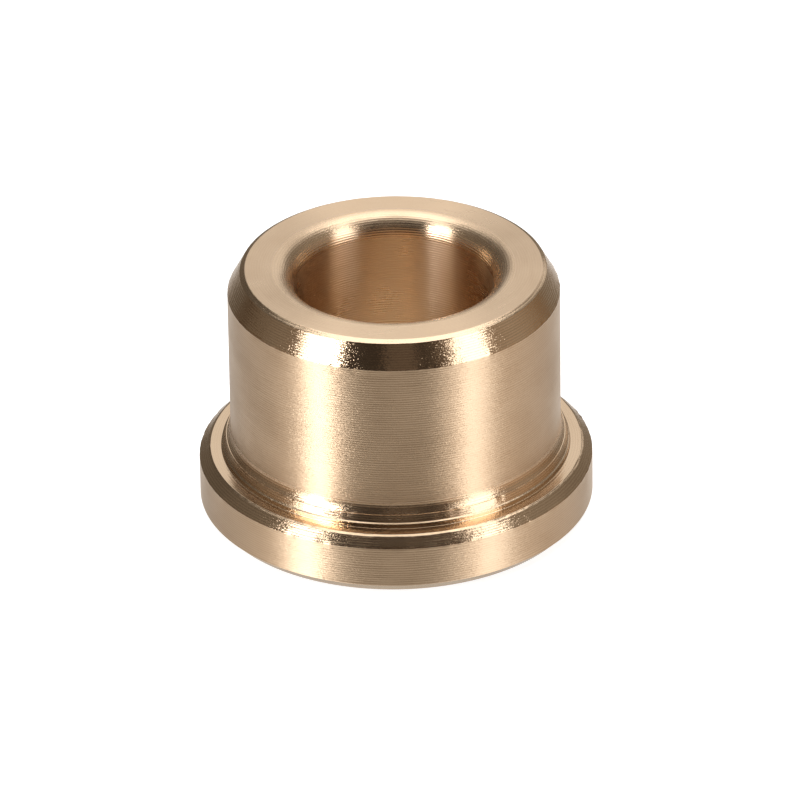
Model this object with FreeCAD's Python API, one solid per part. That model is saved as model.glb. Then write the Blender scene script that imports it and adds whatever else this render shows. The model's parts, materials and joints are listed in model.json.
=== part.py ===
import FreeCAD, Part

import math
import os

from FreeCAD import Vector

# Flanged sleeve bushing turned from one piece of bronze, in millimetres.
# Z is the axis of the bore. The flange's bottom face lies on Z = 0 and the sleeve points up.

# Driving dimensions
BORE_DIAMETER = 12.1
SLEEVE_DIAMETER = 20.04
FLANGE_DIAMETER = 23.9
OVERALL_LENGTH = 15.85
FLANGE_THICKNESS = 3.8

# Edges of the sleeve's free end; the facet slopes are counted from level, the lead-in from the axis
LEAD_IN_LENGTH = 1.55
LEAD_IN_ANGLE = 29.2
END_FACET_INSET = 0.205
END_FACET_SLOPE = 28.0
BORE_MOUTH_RADIUS = 1.3

# Edges of the flange
FLANGE_TOP_CHAMFER = 0.62
FLANGE_FACET_INSET = 0.06
FLANGE_FACET_SLOPE = 30.0
FLANGE_BOTTOM_CHAMFER = 0.65
BORE_BOTTOM_CHAMFER = 0.5

# Foot of the sleeve, upwards: a low sloping ledge, a steep collar with a narrow level land on it,
# and a hollow sweep into the sleeve
LEDGE_FOOT_DIAMETER = 21.17
LEDGE_OUTER_DIAMETER = 21.12
LEDGE_OUTER_HEIGHT = 4.065
LEDGE_INNER_DIAMETER = 20.9
LEDGE_INNER_HEIGHT = 4.13
COLLAR_TOP_DIAMETER = 20.62
COLLAR_TOP_HEIGHT = 4.555
COLLAR_LAND_WIDTH = 0.06
FOOT_SWEEP_RADIUS = 1.0
FOOT_SWEEP_ANGLE = 30.0

BORE_RADIUS = BORE_DIAMETER / 2
SLEEVE_RADIUS = SLEEVE_DIAMETER / 2
FLANGE_RADIUS = FLANGE_DIAMETER / 2
COLLAR_TOP_RADIUS = COLLAR_TOP_DIAMETER / 2
LAND_END_RADIUS = COLLAR_TOP_RADIUS - COLLAR_LAND_WIDTH


def at(radius, height):
    """A point of the half section, which lies in the XZ plane."""
    return Vector(radius, 0, height)


def on_circle(centre, radius, degrees):
    """The point of a circle of the section at an angle counted from the outward direction."""
    turn = math.radians(degrees)
    return centre + at(radius * math.cos(turn), radius * math.sin(turn))


def arc(centre, radius, start, end):
    """The round stretch of the section from one angle to another."""
    ends = [on_circle(centre, radius, angle) for angle in (start, (start + end) / 2, end)]
    return Part.Arc(*ends).toShape()


def foot_arc():
    """The hollow sweep from the collar's land into the sleeve, tangent to the sleeve."""
    turn = math.radians(FOOT_SWEEP_ANGLE)
    bend = COLLAR_TOP_HEIGHT + (LAND_END_RADIUS - SLEEVE_RADIUS) / math.tan(turn)
    centre = at(SLEEVE_RADIUS + FOOT_SWEEP_RADIUS, bend + FOOT_SWEEP_RADIUS * math.tan(turn / 2))
    return arc(centre, FOOT_SWEEP_RADIUS, 180 + FOOT_SWEEP_ANGLE, 180)


def facet(corner, inset, slope, outer_slope):
    """Both ends, outer one first, of the small facet on a corner between a level face and a cone."""
    fall = math.tan(math.radians(slope))
    outer_fall = math.tan(math.radians(outer_slope))
    reach = inset * fall / (outer_fall - fall)
    return [corner + at(reach, -reach * outer_fall), corner + at(-inset, 0)]


def end_facet():
    """The facet between the lead-in cone and the end face."""
    corner_radius = SLEEVE_RADIUS - LEAD_IN_LENGTH * math.tan(math.radians(LEAD_IN_ANGLE))
    corner = at(corner_radius, OVERALL_LENGTH)
    return facet(corner, END_FACET_INSET, END_FACET_SLOPE, 90 - LEAD_IN_ANGLE)


def flange_facet():
    """The facet between the flange's top chamfer, which is 45 degrees, and its top face."""
    corner = at(FLANGE_RADIUS - FLANGE_TOP_CHAMFER, FLANGE_THICKNESS)
    return facet(corner, FLANGE_FACET_INSET, FLANGE_FACET_SLOPE, 45)


def bore_mouth_arc():
    """The rounding between the end face and the bore."""
    centre = at(BORE_RADIUS + BORE_MOUTH_RADIUS, OVERALL_LENGTH - BORE_MOUTH_RADIUS)
    return arc(centre, BORE_MOUTH_RADIUS, 90, 180)


def section():
    """The half section, counter-clockwise from the bore's bottom chamfer."""
    stretches = [
        at(BORE_RADIUS, BORE_BOTTOM_CHAMFER),
        at(BORE_RADIUS + BORE_BOTTOM_CHAMFER, 0),
        at(FLANGE_RADIUS - FLANGE_BOTTOM_CHAMFER, 0),
        at(FLANGE_RADIUS, FLANGE_BOTTOM_CHAMFER),
        at(FLANGE_RADIUS, FLANGE_THICKNESS - FLANGE_TOP_CHAMFER),
        *flange_facet(),
        at(LEDGE_FOOT_DIAMETER / 2, FLANGE_THICKNESS),
        at(LEDGE_OUTER_DIAMETER / 2, LEDGE_OUTER_HEIGHT),
        at(LEDGE_INNER_DIAMETER / 2, LEDGE_INNER_HEIGHT),
        at(COLLAR_TOP_RADIUS, COLLAR_TOP_HEIGHT),
        at(LAND_END_RADIUS, COLLAR_TOP_HEIGHT),
        foot_arc(),
        at(SLEEVE_RADIUS, OVERALL_LENGTH - LEAD_IN_LENGTH),
        *end_facet(),
        bore_mouth_arc(),
    ]
    edges = []
    first = last = stretches[0]
    for stretch in stretches[1:]:
        round_stretch = isinstance(stretch, Part.Shape)
        target = stretch.firstVertex(True).Point if round_stretch else stretch
        edges.append(Part.makeLine(last, target))
        last = target
        if round_stretch:
            edges.append(stretch)
            last = stretch.lastVertex(True).Point
    edges.append(Part.makeLine(last, first))
    return Part.Face(Part.Wire(edges))


def bushing_body():
    """The whole bushing: one solid of revolution, as it leaves the lathe."""
    return section().revolve(Vector(0, 0, 0), Vector(0, 0, 1), 360)


def main():
    os.makedirs("parts", exist_ok=True)
    body = bushing_body()
    body.exportStep("parts/bushing_body.step")
    print("bushing_body valid", body.isValid(), "solids", len(body.Solids), "volume", round(body.Volume, 2))
    print("sleeve wall starts at", round(foot_arc().lastVertex(True).Point.z, 3))


main()
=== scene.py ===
import json
import math

import bpy
import numpy as np
from mathutils import Matrix, Vector


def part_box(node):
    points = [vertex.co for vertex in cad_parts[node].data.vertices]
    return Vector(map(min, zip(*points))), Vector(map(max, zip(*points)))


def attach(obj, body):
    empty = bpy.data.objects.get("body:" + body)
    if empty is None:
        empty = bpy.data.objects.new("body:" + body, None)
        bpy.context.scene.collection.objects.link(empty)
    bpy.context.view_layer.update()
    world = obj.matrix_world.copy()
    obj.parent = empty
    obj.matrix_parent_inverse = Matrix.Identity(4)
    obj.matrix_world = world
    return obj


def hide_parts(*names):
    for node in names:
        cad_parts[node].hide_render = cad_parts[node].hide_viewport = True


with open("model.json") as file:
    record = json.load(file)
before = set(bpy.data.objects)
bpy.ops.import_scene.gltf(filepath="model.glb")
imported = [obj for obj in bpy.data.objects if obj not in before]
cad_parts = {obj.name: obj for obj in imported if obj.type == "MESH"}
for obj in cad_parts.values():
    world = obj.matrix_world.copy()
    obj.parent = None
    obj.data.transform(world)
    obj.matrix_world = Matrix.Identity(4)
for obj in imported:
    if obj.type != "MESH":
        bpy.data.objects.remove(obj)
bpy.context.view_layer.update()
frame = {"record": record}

MM = 0.001
DEGREES = 180 / math.pi

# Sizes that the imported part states, in millimetres
mounts = {mount["name"]: mount for mount in frame["record"]["mounts"]}
low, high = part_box("bushing_body")
FLANGE_RADIUS = (high.x - low.x) / 2 / MM
OVERALL_LENGTH = (high.z - low.z) / MM
BORE_RADIUS = mounts["bore"]["dims"]["r_mm"]
SLEEVE_RADIUS = mounts["sleeve_seat"]["dims"]["r_mm"]
FLANGE_THICKNESS = mounts["flange_shoulder"]["pos_m"][2] / MM

# Edge and foot sizes of the turned outline, in millimetres and degrees, as in the CAD model
LEAD_IN_LENGTH = 1.55
LEAD_IN_ANGLE = 29.2
END_FACET_INSET = 0.205
END_FACET_SLOPE = 28.0
BORE_MOUTH_RADIUS = 1.3
FLANGE_TOP_CHAMFER = 0.62
FLANGE_FACET_INSET = 0.06
FLANGE_FACET_SLOPE = 30.0
FLANGE_BOTTOM_CHAMFER = 0.65
BORE_BOTTOM_CHAMFER = 0.5
LEDGE_FOOT_RADIUS = 10.585
LEDGE_OUTER = (10.56, 4.065)
LEDGE_INNER = (10.45, 4.13)
COLLAR_TOP = (10.31, 4.555)
COLLAR_LAND = 0.06
FOOT_SWEEP_RADIUS = 1.0
FOOT_SWEEP_ANGLE = 30.0

# Roughness that each cut leaves
TURNED = 0.36
BORED = 0.30
FACED = 0.30
SHOULDER = 0.15
SWEPT = 0.26
CUT = 0.18

# Unevenness of the turned edges: (radius, height) of each edge, how far it reaches and how deep it is
WORN_EDGES = ((9.23, 15.80), (10.02, 14.30), (11.35, 3.77), (11.95, 3.18), COLLAR_TOP)
WEAR_REACH = 0.09
WEAR_DEPTH = 0.010
WEAR_PEAKS = 1.5
WEAR_SEED = 7

# Small roundings of the corners, in millimetres
EDGE_BREAK = 0.045
FINE_BREAK = 0.03
KEEN_BREAK = 0.012
FACE_BREAK = 0.12

# Fineness of the lathe mesh: points round the part, rings on the roundings, and the widest that
# rings are apart along straight stretches, in millimetres
TURNS = 360
EDGE_RINGS = 5
FACE_BREAK_RINGS = 7
SWEEP_RINGS = 14
MOUTH_RINGS = 24
EDGE_GUARD = 0.03
CHAMFER_SPACING = 0.2
WALL_SPACING = 0.25
FACE_SPACING = 0.3
BORE_SPACING = 0.4
BASE_SPACING = 1.0


# ---------------------------------------------------------------- outline

class Outline:
    """A closed half section drawn as corners; each corner is rounded by its own small radius."""

    def __init__(self):
        self.corners = []

    def corner(self, radius, height, finish, rounding=EDGE_BREAK, rings=EDGE_RINGS, spacing=None,
               bend=None):
        """A corner, its rounding, and the finish and largest ring spacing of the stretch after it.

        The rounding has the same finish, unless bend gives it another one."""
        here = np.array([radius, height])
        self.corners.append((here, rounding, rings, spacing, finish, finish if bend is None else bend))

    def points(self):
        """The rounded outline's points in order, and the roughness from each point to the next."""
        found, roughness = [], []
        count = len(self.corners)
        tangents = [self.tangent_points(i) for i in range(count)]
        for i in range(count):
            start, end, centre = tangents[i]
            rounding, rings, spacing, finish, bend = self.corners[i][1:]
            found += self.arc_points(start, end, centre, rounding, rings)
            roughness += [bend] * (len(found) - len(roughness))
            following = tangents[(i + 1) % count][0]
            found += self.straight_points(end, following, spacing)
            roughness += [finish] * (len(found) - len(roughness))
        return np.array(found), np.array(roughness)

    def tangent_points(self, i):
        """Where the rounding of corner i starts and ends, and its centre."""
        here, rounding = self.corners[i][:2]
        before = self.corners[i - 1][0] - here
        after = self.corners[(i + 1) % len(self.corners)][0] - here
        before = before / np.linalg.norm(before)
        after = after / np.linalg.norm(after)
        half = math.acos(float(np.clip(before @ after, -1, 1))) / 2
        reach = rounding / math.tan(half)
        middle = (before + after) / np.linalg.norm(before + after)
        return here + before * reach, here + after * reach, here + middle * rounding / math.sin(half)

    @staticmethod
    def arc_points(start, end, centre, rounding, rings):
        first = math.atan2(start[1] - centre[1], start[0] - centre[0])
        last = math.atan2(end[1] - centre[1], end[0] - centre[0])
        sweep = (last - first + math.pi) % (2 * math.pi) - math.pi
        angles = first + sweep * np.linspace(0, 1, rings)
        return [centre + rounding * np.array([math.cos(a), math.sin(a)]) for a in angles]

    @staticmethod
    def straight_points(start, end, spacing):
        """Points inside a straight stretch: one close to each end, and even ones between."""
        length = float(np.linalg.norm(end - start))
        guard = min(EDGE_GUARD, length / 4)
        steps = max(1, math.ceil((length - 2 * guard) / spacing)) if spacing else 1
        along = np.linspace(guard, length - guard, steps + 1)
        return [start + (end - start) * a / length for a in along]


def edge_facet(corner, inset, slope, outer_slope):
    """Both ends, outer one first, of the small facet on a corner between a level face and a cone."""
    fall = math.tan(math.radians(slope))
    outer_fall = math.tan(math.radians(outer_slope))
    reach = inset * fall / (outer_fall - fall)
    return (corner[0] + reach, corner[1] - reach * outer_fall), (corner[0] - inset, corner[1])


def flange_corners(outline):
    """The flange rim: bottom chamfer, turned edge, top chamfer and the small facet inside it."""
    outline.corner(FLANGE_RADIUS - FLANGE_BOTTOM_CHAMFER, 0, CUT, spacing=CHAMFER_SPACING)
    outline.corner(FLANGE_RADIUS, FLANGE_BOTTOM_CHAMFER, TURNED, spacing=WALL_SPACING)
    outline.corner(FLANGE_RADIUS, FLANGE_THICKNESS - FLANGE_TOP_CHAMFER, CUT, spacing=CHAMFER_SPACING)
    corner = FLANGE_RADIUS - FLANGE_TOP_CHAMFER, FLANGE_THICKNESS
    outer, inner = edge_facet(corner, FLANGE_FACET_INSET, FLANGE_FACET_SLOPE, 45)
    outline.corner(*outer, CUT, rounding=FINE_BREAK)
    outline.corner(*inner, SHOULDER, spacing=CHAMFER_SPACING)


def foot_corners(outline):
    """The ledge on the flange, the collar with its narrow land, and the hollow sweep up to the sleeve."""
    outline.corner(LEDGE_FOOT_RADIUS, FLANGE_THICKNESS, CUT)
    outline.corner(*LEDGE_OUTER, CUT, rounding=FINE_BREAK)
    outline.corner(*LEDGE_INNER, SWEPT, rounding=FINE_BREAK)
    outline.corner(*COLLAR_TOP, CUT, rounding=KEEN_BREAK)
    land_end = COLLAR_TOP[0] - COLLAR_LAND
    outline.corner(land_end, COLLAR_TOP[1], SWEPT, rounding=KEEN_BREAK)
    rise = (land_end - SLEEVE_RADIUS) / math.tan(math.radians(FOOT_SWEEP_ANGLE))
    sweep = {"rounding": FOOT_SWEEP_RADIUS, "rings": SWEEP_RINGS, "bend": SWEPT}
    outline.corner(SLEEVE_RADIUS, COLLAR_TOP[1] + rise, TURNED, spacing=WALL_SPACING, **sweep)


def end_corners(outline):
    """The free end: lead-in chamfer, small facet, end face and the bore's rounded mouth."""
    outline.corner(SLEEVE_RADIUS, OVERALL_LENGTH - LEAD_IN_LENGTH, CUT, spacing=WALL_SPACING)
    end_radius = SLEEVE_RADIUS - LEAD_IN_LENGTH * math.tan(math.radians(LEAD_IN_ANGLE))
    corner = end_radius, OVERALL_LENGTH
    outer, inner = edge_facet(corner, END_FACET_INSET, END_FACET_SLOPE, 90 - LEAD_IN_ANGLE)
    outline.corner(*outer, CUT)
    outline.corner(*inner, FACED, rounding=FACE_BREAK, rings=FACE_BREAK_RINGS, spacing=FACE_SPACING)
    mouth = {"rounding": BORE_MOUTH_RADIUS, "rings": MOUTH_RINGS, "bend": SWEPT}
    outline.corner(BORE_RADIUS, OVERALL_LENGTH, BORED, spacing=BORE_SPACING, **mouth)


def bushing_outline():
    """The whole half section, counter-clockwise from the bore's bottom chamfer."""
    outline = Outline()
    outline.corner(BORE_RADIUS, BORE_BOTTOM_CHAMFER, CUT)
    outline.corner(BORE_RADIUS + BORE_BOTTOM_CHAMFER, 0, FACED, spacing=BASE_SPACING)
    flange_corners(outline)
    foot_corners(outline)
    end_corners(outline)
    return outline.points()


def edge_wear(section, angles):
    """How far each point is pushed out of or into the metal, in mm: turned edges are never quite even."""
    chance = np.random.default_rng(WEAR_SEED)
    wear = np.zeros((len(section), len(angles)))
    for edge in WORN_EDGES:
        uneven = chance.normal(size=len(angles))
        uneven = (uneven + np.roll(uneven, 1)) / 2
        uneven = np.sign(uneven) * np.abs(uneven) ** WEAR_PEAKS
        near = np.exp(-(np.linalg.norm(section - edge, axis=1) / WEAR_REACH) ** 2)
        wear += near[:, None] * uneven[None, :] * WEAR_DEPTH
    return wear


def keep_on_corners(mesh, name, values):
    """Stores a number on the four corners of each face; values holds each corner's, ring by ring."""
    spread = np.repeat(np.stack(values, axis=-1)[:, None, :], TURNS, axis=1).reshape(-1)
    mesh.attributes.new(name, "FLOAT", "CORNER").data.foreach_set("value", spread.astype(np.float32))


def lathe(name, section, finish):
    """Turns a closed section about Z.

    Face corners keep how far along the section they lie, in mm, and their finish."""
    rings = len(section)
    angles = np.arange(TURNS) * 2 * math.pi / TURNS
    step = np.roll(section, -1, axis=0) - np.roll(section, 1, axis=0)
    outward = np.stack([step[:, 1], -step[:, 0]], axis=-1) / np.linalg.norm(step, axis=1, keepdims=True)
    shape = section[:, None, :] + outward[:, None, :] * edge_wear(section, angles)[:, :, None]
    radius, height = shape[:, :, 0] * MM, shape[:, :, 1] * MM
    grid = np.stack([radius * np.cos(angles), radius * np.sin(angles), height], axis=-1)
    ring = np.arange(rings)[:, None]
    turn = np.arange(TURNS)[None, :]
    next_ring, next_turn = (ring + 1) % rings, (turn + 1) % TURNS
    faces = np.stack([
        ring * TURNS + turn,
        ring * TURNS + next_turn,
        next_ring * TURNS + next_turn,
        next_ring * TURNS + turn,
    ], axis=-1).reshape(-1, 4)
    mesh = bpy.data.meshes.new(name)
    mesh.from_pydata(grid.reshape(-1, 3).tolist(), [], faces.tolist())
    mesh.shade_smooth()
    steps = np.linalg.norm(np.roll(section, -1, axis=0) - section, axis=1)
    start = np.concatenate([[0], np.cumsum(steps)])
    keep_on_corners(mesh, "along_mm", (start[:-1], start[:-1], start[1:], start[1:]))
    keep_on_corners(mesh, "finish", (finish, finish, finish, finish))
    piece = bpy.data.objects.new(name, mesh)
    bpy.context.scene.collection.objects.link(piece)
    return piece


# ---------------------------------------------------------------- node helpers

class Nodes:
    """Short words for building a node tree."""

    def __init__(self, tree):
        self.tree = tree
        tree.nodes.clear()

    def add(self, kind, settings=None, **inputs):
        node = self.tree.nodes.new(kind)
        for key, value in (settings or {}).items():
            setattr(node, key, value)
        for key, value in inputs.items():
            self.put(node.inputs[key.replace("_", " ")], value)
        return node

    def put(self, socket, value):
        if isinstance(value, bpy.types.NodeSocket):
            self.tree.links.new(value, socket)
        else:
            socket.default_value = value

    def maths(self, operation, *values, clamp=False):
        node = self.tree.nodes.new("ShaderNodeMath")
        node.operation = operation
        node.use_clamp = clamp
        for socket, value in zip(node.inputs, values):
            self.put(socket, value)
        return node.outputs[0]

    def vector(self, operation, *values):
        node = self.tree.nodes.new("ShaderNodeVectorMath")
        node.operation = operation
        sockets = list(node.inputs)
        if operation == "SCALE":
            sockets[1] = node.inputs["Scale"]
        for socket, value in zip(sockets, values):
            self.put(socket, value)
        return node.outputs["Value" if operation in ("DOT_PRODUCT", "LENGTH") else "Vector"]

    def remap(self, value, low_in, high_in, low_out, high_out, smooth=False):
        node = self.tree.nodes.new("ShaderNodeMapRange")
        node.interpolation_type = "SMOOTHSTEP" if smooth else "LINEAR"
        for socket, given in zip(node.inputs, (value, low_in, high_in, low_out, high_out)):
            self.put(socket, given)
        return node.outputs["Result"]

    def soft(self, value, change):
        """A smooth remap, given as where the change starts and ends and the result at each end."""
        return self.remap(value, *change, smooth=True)

    def mix(self, factor, first, second):
        """From the first value, at factor 0, to the second, at factor 1."""
        return self.maths("MULTIPLY_ADD", factor, self.maths("SUBTRACT", second, first), first)

    def noise(self, vector, scale, detail=2.0, roughness=0.5):
        node = self.add("ShaderNodeTexNoise", Vector=vector, Scale=scale, Detail=detail, Roughness=roughness)
        return node.outputs["Fac"]

    def colour_mix(self, factor, first, second):
        node = self.tree.nodes.new("ShaderNodeMix")
        node.data_type = "RGBA"
        for name, value in (("Factor_Float", factor), ("A_Color", first), ("B_Color", second)):
            self.put(next(s for s in node.inputs if s.identifier == name), value)
        return next(s for s in node.outputs if s.identifier == "Result_Color")

    def both(self, first, second):
        """Two shaders added together."""
        node = self.tree.nodes.new("ShaderNodeAddShader")
        self.put(node.inputs[0], first)
        self.put(node.inputs[1], second)
        return node.outputs[0]

    def blend(self, factor, first, second):
        """From the first shader, at factor 0, to the second, at factor 1."""
        node = self.add("ShaderNodeMixShader", Fac=factor)
        self.put(node.inputs[1], first)
        self.put(node.inputs[2], second)
        return node.outputs[0]


# ---------------------------------------------------------------- turned bronze
# A tuple of four, here and for the light, is a change: where it starts and ends, and the result
# at its start and end.

BRONZE = (0.84, 0.635, 0.440, 1)
BRONZE_DARK = (0.70, 0.49, 0.31, 1)
ANISOTROPY = 0.9
QUARTER_TURN = 0.25

# Where a surface belongs to the bore, by how far its normal points outwards
BORE_SIDE = (-0.95, -0.7, 1.0, 0.0)

# Feed lines, in mm and as slopes; they drift a little and are fainter on level faces
FEED_PITCH = 0.155
FEED_SLOPE = 0.09
BORE_FEED_SLOPE = 0.22
FEED_DRIFT = 5.0
FEED_FAINT = (0.6, 0.95, 1.0, 0.35)
DRIFT_RINGS = {"arc": 1.5, "per_mm": 1.2, "detail": 1.0, "offset": 40.0}

# Uneven rings between the feed lines
STREAK_RINGS = {"arc": 4.0, "per_mm": 14.0, "detail": 3.0, "offset": 0.0}
STREAK_SLOPE = 0.15

# Fine grain: its faint slope, and how much more its few sparks are tilted on each finish
GRAIN_PER_METRE = 15000.0
GRAIN_SLOPE = 0.10
GRAIN_SPARKS = 0.38
TURNED_GRAIN_SPARKS = 0.70
CUT_GRAIN_SPARKS = 0.68
SPARK_RARITY = 3.0
SMOOTHED = 0.24
GRAIN_ACROSS = 0.5
GRAIN_START = (0, 0, 0)
GRAIN_AROUND_START = (1, 2, 3)

# How blotches, streaks, grain and feed lines darken the colour and change the roughness; the feed lines'
# darkening is painted shade in the valleys between them
BLOTCHES_PER_METRE = 350.0
BLOTCH_DETAIL = 3.0
BLOTCH_SHADE = (0.35, 0.7, 0.0, 0.18)
STREAK_SHADE = 0.35
GRAIN_SHADE = 2.5
FEED_PAINTED_SHADE = 0.3
PLAIN_SHADE = 0.15
STREAK_ROUGH = 0.5
ROUGH_CHANGE = (0.3, 0.8, -0.03, 0.04)


def ring_noise(n, outward, along, arc, per_mm, detail, offset):
    """Noise drawn out around the part: arc features to a radian, per_mm features to a millimetre."""
    spread = n.vector("SCALE", outward, arc)
    lift = n.add("ShaderNodeCombineXYZ", Z=n.maths("MULTIPLY_ADD", along, per_mm, offset)).outputs[0]
    return n.noise(n.vector("ADD", spread, lift), 1.0, detail)


def feed_lines(n, outward, along, normal):
    """The regular lines that the tool's feed leaves, from -1 to 1."""
    drift = ring_noise(n, outward, along, **DRIFT_RINGS)
    phase = n.maths("MULTIPLY_ADD", along, 2 * math.pi / FEED_PITCH, n.maths("MULTIPLY", drift, FEED_DRIFT))
    upright = n.add("ShaderNodeSeparateXYZ", Vector=normal).outputs["Z"]
    faint = n.remap(n.maths("ABSOLUTE", upright), *FEED_FAINT)
    return n.maths("MULTIPLY", n.maths("SINE", phase), faint)


def grain_slope(n, place, sparks, start):
    """Fine grain: most of it is faint, and a few grains are tilted much more."""
    noise = n.noise(n.vector("ADD", place, start), GRAIN_PER_METRE)
    tilt = n.maths("MULTIPLY_ADD", noise, 2.0, -1.0)
    peak = n.maths("POWER", n.maths("ABSOLUTE", tilt), SPARK_RARITY)
    spark = n.maths("MULTIPLY", peak, n.maths("SIGN", tilt))
    return n.maths("MULTIPLY_ADD", spark, sparks, n.maths("MULTIPLY", tilt, GRAIN_SLOPE))


def turned_bronze():
    """Bronze with the fine rings that a lathe leaves: they spread reflections across the rings."""
    material = bpy.data.materials.new("turned_bronze")
    material.use_nodes = True
    n = Nodes(material.node_tree)
    place = n.add("ShaderNodeTexCoord").outputs["Object"]
    split = n.add("ShaderNodeSeparateXYZ", Vector=place).outputs
    along = n.add("ShaderNodeAttribute", {"attribute_name": "along_mm"}).outputs["Fac"]
    finish = n.add("ShaderNodeAttribute", {"attribute_name": "finish"}).outputs["Fac"]
    normal = n.add("ShaderNodeNewGeometry").outputs["Normal"]

    flat = n.add("ShaderNodeCombineXYZ", X=split["X"], Y=split["Y"]).outputs[0]
    outward = n.vector("NORMALIZE", flat)
    around = n.vector("CROSS_PRODUCT", (0, 0, 1), outward)
    across = n.vector("CROSS_PRODUCT", normal, around)
    bored = n.remap(n.vector("DOT_PRODUCT", normal, outward), *BORE_SIDE, smooth=True)
    outside = n.maths("SUBTRACT", 1.0, bored)

    streaks = n.maths("SUBTRACT", ring_noise(n, outward, along, **STREAK_RINGS), 0.5)
    feed = feed_lines(n, outward, along, normal)
    sparks = n.remap(finish, CUT, SMOOTHED, CUT_GRAIN_SPARKS, GRAIN_SPARKS)
    sparks = n.mix(n.remap(finish, BORED, TURNED, 0.0, 1.0), sparks, TURNED_GRAIN_SPARKS)
    grain = n.maths("MULTIPLY", grain_slope(n, place, sparks, GRAIN_START), outside)
    grain_around = n.maths("MULTIPLY", grain_slope(n, place, sparks, GRAIN_AROUND_START), outside)

    slope = n.maths("MULTIPLY", streaks, STREAK_SLOPE)
    slope = n.maths("MULTIPLY_ADD", feed, n.mix(bored, FEED_SLOPE, BORE_FEED_SLOPE), slope)
    slope = n.maths("MULTIPLY_ADD", grain, GRAIN_ACROSS, slope)
    tilt = n.vector("ADD", n.vector("SCALE", across, slope), n.vector("SCALE", around, grain_around))
    bent = n.vector("NORMALIZE", n.vector("ADD", normal, tilt))

    blotch = n.noise(place, BLOTCHES_PER_METRE, BLOTCH_DETAIL)
    shade = n.maths("MULTIPLY_ADD", streaks, STREAK_SHADE, n.remap(blotch, *BLOTCH_SHADE))
    shade = n.maths("MULTIPLY_ADD", grain, GRAIN_SHADE, shade)
    # the feed lines' share of this darkening is painted shade in their valleys
    shade = n.maths("ADD", shade, n.maths("MULTIPLY_ADD", feed, FEED_PAINTED_SHADE, PLAIN_SHADE), clamp=True)
    rough = n.remap(n.maths("MULTIPLY_ADD", streaks, STREAK_ROUGH, blotch), *ROUGH_CHANGE)

    shader = n.add("ShaderNodeBsdfPrincipled")
    n.put(shader.inputs["Base Color"], n.colour_mix(shade, BRONZE, BRONZE_DARK))
    n.put(shader.inputs["Metallic"], 1.0)
    n.put(shader.inputs["Roughness"], n.maths("ADD", finish, rough))
    n.put(shader.inputs["Anisotropic"], ANISOTROPY)
    n.put(shader.inputs["Anisotropic Rotation"], QUARTER_TURN)
    n.put(shader.inputs["Normal"], bent)
    tangent = n.add("ShaderNodeTangent", {"direction_type": "RADIAL", "axis": "Z"}).outputs[0]
    n.put(shader.inputs["Tangent"], tangent)
    n.add("ShaderNodeOutputMaterial", Surface=shader.outputs[0])
    return material


# ---------------------------------------------------------------- studio

CAMERA_DISTANCE = 532.8 * MM
CAMERA_HEIGHT_ANGLE = 29.58
CAMERA_ROLL = 0.834
CAMERA_LENS = 395.8
AIM_HEIGHT = 7.3 * MM
AIM_RIGHT = 0.294 * MM
AIM_DOWN = 0.579 * MM
SENSOR_WIDTH = 36
CLIP_START = 0.01
CLIP_END = 20


def make_camera():
    """A long lens that looks down on the part, with the part a little left of and above the middle."""
    rise = math.radians(CAMERA_HEIGHT_ANGLE)
    roll = math.radians(CAMERA_ROLL)
    back = Vector((0, -math.cos(rise), math.sin(rise)))
    level_right = Vector((1, 0, 0))
    level_up = back.cross(level_right)
    right = level_right * math.cos(roll) - level_up * math.sin(roll)
    up = level_up * math.cos(roll) + level_right * math.sin(roll)
    aim = Vector((0, 0, AIM_HEIGHT)) + right * AIM_RIGHT - up * AIM_DOWN
    data = bpy.data.cameras.new("camera")
    data.lens = CAMERA_LENS
    data.sensor_width = SENSOR_WIDTH
    data.clip_start = CLIP_START
    data.clip_end = CLIP_END
    camera = bpy.data.objects.new("camera", data)
    turn = Matrix((right, up, back)).transposed().to_4x4()
    camera.matrix_world = Matrix.Translation(aim + back * CAMERA_DISTANCE) @ turn
    bpy.context.scene.collection.objects.link(camera)
    bpy.context.scene.camera = camera


WHITE = (1, 1, 1, 1)

# The light by direction. Turn is the angle round the part in degrees, 0 towards the camera and
# positive to its right; side is the same without its sign, and rise is the angle above level.

# The two strips: middle and half width by rise, soft edges, and level by turn, low down and above
STRIP_MIDDLE = (25, 52, 53, 68)
STRIP_LOW_SHIFT = (-20, 4, 1.5, 4.0)
STRIP_HIGH_SHIFT = (4, 20, 0.0, -4.0)
STRIP_LOW_HALF = (-20, 4, 7.4, 10.5)
STRIP_HIGH_HALF = (4, 20, 0.0, 3.5)
STRIP_TOP_HALF = (25, 52, 14.5, 11.0)
STRIP_EDGE = (0.8, 1.2, 1.0, 0.0)
STRIP_END = (52, 60, 1.0, 0.0)
STRIP_LOW_LEVEL = (-20, 20, 1.9, 0.80)
STRIP_HIGH_LEVEL = (-20, 20, 3.0, 2.1)
STRIP_RAISED = (-12, 2, 0.0, 1.0)

# The glow round each strip, by how far off its middle, and its level and end by rise
GLOW_OUTER = (50, -12, 0.0, 1.0)
GLOW_INNER_START = (-20, 20, -25, -33)
GLOW_INNER_END = (-20, 20, -5, -9)
GLOW_LEVEL = (-12, 2, 0.55, 0.16)
GLOW_END = (40, 60, 1.0, 0.0)

# The brightest part of the left strip, by how far off its middle and by rise
HOT_MIDDLE = -47
HOT_WIDTH = (4, 8, 4.0, 0.0)
HOT_START = (20, 28, 0.0, 2.2)
HOT_END = (34, 42, 1.0, 0.0)

# The sheet behind and above: its edges by parts of the direction, and its level by height
SHEET_NARROWING = (0.5, 0.75, 0.0, 0.20)
SHEET_LEFT = (-0.34, -0.10, 0.0, 1.0)
SHEET_RIGHT = (0.42, 0.58, 1.0, 0.0)
SHEET_FRONT = (-0.16, -0.06, 0.0, 1.0)
SHEET_BOTTOM = (0.12, 0.35, 0.0, 1.0)
SHEET_LEVEL = (0.65, 0.92, 0.70, 1.9)

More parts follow.
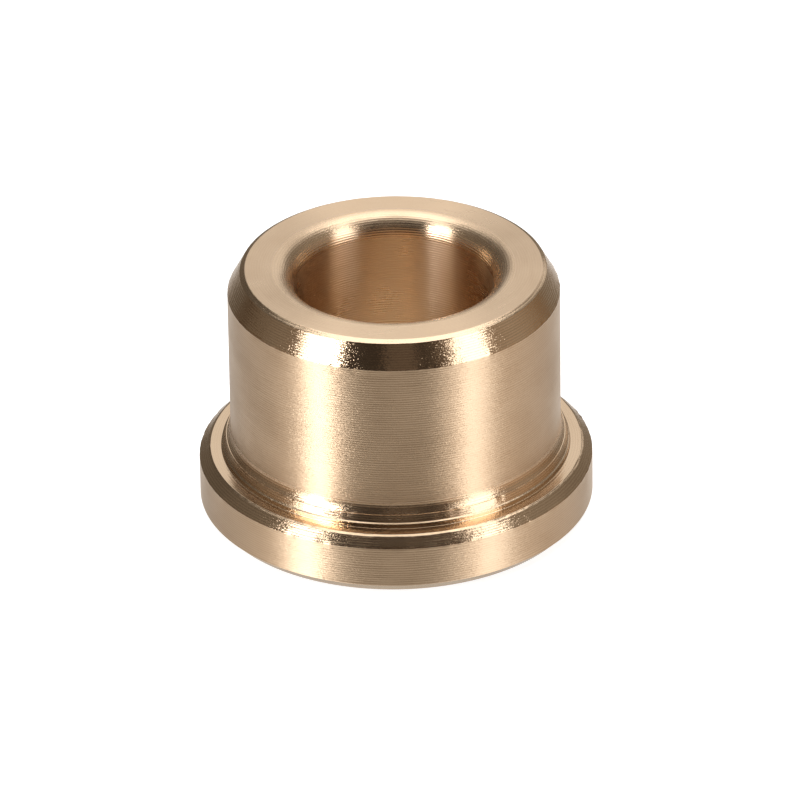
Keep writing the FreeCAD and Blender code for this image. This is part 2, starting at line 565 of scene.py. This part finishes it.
# The dim room: its level from left to right, and what it is multiplied by
ROOM_LEVEL = (-0.8, 0.8, 0.21, 0.36)
ROOM_ABOVE = (5, 26, 1.0, 0.72)
ROOM_TOP = (32, 56, 1.0, 0.45)
ROOM_BACK = (0.1, 0.7, 1.0, 0.6)
ROOM_FRONT = (-0.45, -0.05, 0.55, 1.0)

# Dark flags on both sides of the camera, and a darker place low down in front
FLAG_MIDDLE = 0.06
FLAG_START = (0.15, 0.19, 0.0, 1.0)
FLAG_DEPTH = (-0.7, -0.5, 1.0, 0.0)
FLAG_LEVEL = 0.38
LOW_FRONT_RISE = (6, 19, 1.0, 0.0)
LOW_FRONT_SIDE = (45, 65, 1.0, 0.0)
LOW_FRONT_LEVEL = 0.10

# The warm, dim light near the horizon, darker on the left
HORIZON_RISE = (0, 7, 1.0, 0.0)
HORIZON_SIDE = (118, 134, 1.0, 0.0)
HORIZON_LEVEL = (-60, 60, 0.36, 0.80)

# The pale ground below the horizon: level in front and behind, and its brighter far corners
GROUND_LEVEL = (60, 80, 0.60, 0.75)
GROUND_LEFT = (-172, -140, 0.30, 0.0)
GROUND_RIGHT = (140, 172, 0.0, 0.42)
GROUND_END = (-30, -8, 0.0, 1.0)

# Colours of the light; bright light is white
ROOM_FRONT_COLOUR = (1.0, 0.66, 0.44, 1)
ROOM_COLOUR = (1.0, 0.88, 0.74, 1)
HORIZON_COLOUR = (1.0, 0.62, 0.32, 1)
GROUND_FRONT_COLOUR = (1.0, 0.95, 0.88, 1)
GROUND_BACK_COLOUR = (0.97, 1.0, 1.03, 1)
GROUND_COLOURS = (60, 150, 0.0, 1.0)
WHITENING = (0.5, 1.2, 0.0, 1.0)


def product(n, *values):
    """All the values multiplied together."""
    result = values[0]
    for value in values[1:]:
        result = n.maths("MULTIPLY", result, value)
    return result


def strips(n, side, turn, rise):
    """Two tall strips of light that lean outwards at the top, and the soft glow round them."""
    middle = n.maths("ADD", n.soft(rise, STRIP_MIDDLE), n.remap(rise, *STRIP_LOW_SHIFT))
    middle = n.maths("ADD", middle, n.remap(rise, *STRIP_HIGH_SHIFT))
    half = n.maths("ADD", n.remap(rise, *STRIP_LOW_HALF), n.remap(rise, *STRIP_HIGH_HALF))
    half = n.maths("MINIMUM", half, n.remap(rise, *STRIP_TOP_HALF))
    off = n.maths("SUBTRACT", side, middle)
    inside = n.soft(n.maths("DIVIDE", n.maths("ABSOLUTE", off), half), STRIP_EDGE)
    low_level = n.remap(turn, *STRIP_LOW_LEVEL)
    high_level = n.remap(turn, *STRIP_HIGH_LEVEL)
    level = n.mix(n.soft(rise, STRIP_RAISED), low_level, high_level)
    core = product(n, inside, n.soft(rise, STRIP_END), level)
    inner_edge = (n.remap(turn, *GLOW_INNER_START), n.remap(turn, *GLOW_INNER_END), 0.0, 1.0)
    glow = n.maths("MULTIPLY", n.soft(off, GLOW_OUTER), n.soft(off, inner_edge))
    glow = product(n, glow, n.soft(rise, GLOW_LEVEL), n.soft(rise, GLOW_END))
    off_hot = n.maths("ABSOLUTE", n.maths("SUBTRACT", turn, HOT_MIDDLE))
    hot = product(n, n.soft(off_hot, HOT_WIDTH), n.soft(rise, HOT_START), n.soft(rise, HOT_END))
    return n.maths("ADD", n.maths("ADD", core, glow), hot)


def sheet_light(n, split):
    """The pale sheet behind and above the part."""
    left = n.maths("ADD", split["X"], n.soft(split["Z"], SHEET_NARROWING))
    across = n.maths("MULTIPLY", n.soft(left, SHEET_LEFT), n.soft(split["X"], SHEET_RIGHT))
    along = n.maths("MULTIPLY", n.soft(split["Y"], SHEET_FRONT), n.soft(split["Z"], SHEET_BOTTOM))
    return product(n, across, along, n.soft(split["Z"], SHEET_LEVEL))


def room_light(n, split, side, turn, rise, front, horizon):
    """The dim room above the horizon, with the darker places in front."""
    beside = n.maths("ABSOLUTE", n.maths("SUBTRACT", split["X"], FLAG_MIDDLE))
    flag = n.maths("MULTIPLY", n.soft(beside, FLAG_START), n.soft(split["Y"], FLAG_DEPTH))
    low_front = n.maths("MULTIPLY", n.soft(rise, LOW_FRONT_RISE), n.soft(side, LOW_FRONT_SIDE))
    return product(
        n,
        n.soft(split["X"], ROOM_LEVEL),
        n.soft(rise, ROOM_ABOVE),
        n.soft(rise, ROOM_TOP),
        n.soft(split["Y"], ROOM_BACK),
        front,
        n.mix(flag, 1.0, FLAG_LEVEL),
        n.mix(low_front, 1.0, LOW_FRONT_LEVEL),
        n.mix(horizon, 1.0, n.remap(turn, *HORIZON_LEVEL)),
    )


def make_world():
    """All the light that the bronze mirrors: strips, a sheet behind and above, pale ground, dim room."""
    world = bpy.data.worlds.new("studio")
    bpy.context.scene.world = world
    world.use_nodes = True
    n = Nodes(world.node_tree)
    ray = n.add("ShaderNodeTexCoord").outputs["Generated"]
    split = n.add("ShaderNodeSeparateXYZ", Vector=ray).outputs
    back = n.maths("MULTIPLY", split["Y"], -1.0)
    turn = n.maths("MULTIPLY", n.maths("ARCTAN2", split["X"], back), DEGREES)
    rise = n.maths("MULTIPLY", n.maths("ARCSINE", split["Z"]), DEGREES)
    side = n.maths("ABSOLUTE", turn)

    front = n.soft(split["Y"], ROOM_FRONT)
    horizon = n.maths("MULTIPLY", n.soft(rise, HORIZON_RISE), n.soft(side, HORIZON_SIDE))
    room = room_light(n, split, side, turn, rise, front, horizon)
    ground = n.maths("ADD", n.soft(side, GROUND_LEVEL), n.soft(turn, GROUND_LEFT))
    ground = n.maths("ADD", ground, n.soft(turn, GROUND_RIGHT))
    over = n.soft(rise, GROUND_END)
    level = n.maths("ADD", n.mix(over, ground, room), strips(n, side, turn, rise))

    warm = n.colour_mix(front, ROOM_FRONT_COLOUR, ROOM_COLOUR)
    warm = n.colour_mix(horizon, warm, HORIZON_COLOUR)
    pale = n.colour_mix(n.remap(side, *GROUND_COLOURS), GROUND_FRONT_COLOUR, GROUND_BACK_COLOUR)
    colour = n.colour_mix(n.remap(level, *WHITENING), n.colour_mix(over, pale, warm), WHITE)
    room_shader = n.add("ShaderNodeBackground", Color=colour, Strength=level).outputs[0]
    sheet_shader = n.add("ShaderNodeBackground", Color=WHITE, Strength=sheet_light(n, split)).outputs[0]
    n.add("ShaderNodeOutputWorld", Surface=n.both(room_shader, sheet_shader))


# The paper: its grey and its own glow, which keeps shadows faint
PAPER_REACH = 1.2
PAPER_GREY = (0.4, 0.4, 0.4, 1)
PAPER_GLOW = 0.85
PAPER_DROP = 0.02 * MM

# The pad under the part that the bronze mirrors: its glow is painted light, a warm pool under the bore that
# dims towards the bore's wall, set by how far it lies from the axis
PAD_RADIUS = 12 * MM
PAD_DROP = 0.03 * MM
PAD_INNER_LEVEL = (2.5 * MM, 5.5 * MM, 0.88, 0.18)
PAD_OUTER_LEVEL = (8 * MM, 10 * MM, 0.0, 0.40)
PAD_BEYOND = (6 * MM, 8 * MM, 0.0, 1.0)
PAD_COLOUR = (1, 0.84, 0.64, 1)
PAD_BEYOND_COLOUR = (1, 0.98, 0.95, 1)
PAD_END = (11.9 * MM, 12.0 * MM, 0.0, 1.0)


def make_sheet(name, reach, height, paper):
    """A plain flat sheet under the part. Its underside is clear, so that a low camera sees the part."""
    corners = [(-reach, -reach, 0), (reach, -reach, 0), (reach, reach, 0), (-reach, reach, 0)]
    mesh = bpy.data.meshes.new(name)
    mesh.from_pydata(corners, [], [(0, 1, 2, 3)])
    sheet = bpy.data.objects.new(name, mesh)
    sheet.location.z = height
    bpy.context.scene.collection.objects.link(sheet)
    material = bpy.data.materials.new(name)
    material.use_nodes = True
    n = Nodes(material.node_tree)
    clear = n.add("ShaderNodeBsdfTransparent").outputs[0]
    underside = n.add("ShaderNodeNewGeometry").outputs["Backfacing"]
    n.add("ShaderNodeOutputMaterial", Surface=n.blend(underside, paper(n), clear))
    mesh.materials.append(material)
    return sheet


def white_paper(n):
    """Matt white paper on a light table, so that shadows on it stay faint."""
    matt = n.add("ShaderNodeBsdfDiffuse", Color=PAPER_GREY).outputs[0]
    glow = n.add("ShaderNodeEmission", Color=WHITE, Strength=PAPER_GLOW).outputs[0]
    return n.both(matt, glow)


def painted_light_pad(n):
    """The paper right under the part as the bronze mirrors it, as painted light: a warm glowing pool under
    the bore, dimmer towards the bore's wall.
    """
    away = n.vector("LENGTH", n.add("ShaderNodeTexCoord").outputs["Object"])
    # painted light: bright in the middle under the bore, dimmer towards the bore's wall, brighter again
    # further out
    level = n.maths("ADD", n.soft(away, PAD_INNER_LEVEL), n.remap(away, *PAD_OUTER_LEVEL))
    colour = n.colour_mix(n.remap(away, *PAD_BEYOND), PAD_COLOUR, PAD_BEYOND_COLOUR)
    glow = n.add("ShaderNodeEmission", Color=colour, Strength=level).outputs[0]
    clear = n.add("ShaderNodeBsdfTransparent").outputs[0]
    return n.blend(n.remap(away, *PAD_END), glow, clear)


def make_floor():
    """White paper that the camera sees, and under the part a glowing pad of painted light that only the
    bronze mirrors.
    """
    paper = make_sheet("floor", PAPER_REACH, low.z - PAPER_DROP, white_paper)
    paper.visible_glossy = False
    pad = make_sheet("pad", PAD_RADIUS, low.z - PAD_DROP, painted_light_pad)
    pad.visible_camera = False
    pad.visible_diffuse = False
    pad.visible_shadow = False


# The soft lamp above and behind that lights the paper; the bronze doesn't mirror it
FILL_RISE = 70
FILL_DISTANCE = 0.8
FILL_SIZE = 0.8
FILL_POWER = 6.0


def make_fill():
    """A square lamp that faces the part from above and behind."""
    data = bpy.data.lights.new("floor_fill", "AREA")
    data.shape = "RECTANGLE"
    data.size = FILL_SIZE
    data.size_y = FILL_SIZE
    data.energy = FILL_POWER
    lamp = bpy.data.objects.new("floor_fill", data)
    rise = math.radians(FILL_RISE)
    away = Vector((0, math.cos(rise), math.sin(rise)))
    lamp.location = away * FILL_DISTANCE
    lamp.rotation_euler = away.to_track_quat("Z", "Y").to_euler()
    lamp.visible_glossy = False
    bpy.context.scene.collection.objects.link(lamp)


def make_studio():
    bpy.context.scene.view_settings.view_transform = "Standard"
    make_world()
    make_floor()
    make_fill()


make_camera()
section, finish = bushing_outline()
bushing = lathe("turned_bushing", section, finish)
bushing.data.materials.append(turned_bronze())
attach(bushing, "root")
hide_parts("bushing_body")
make_studio()
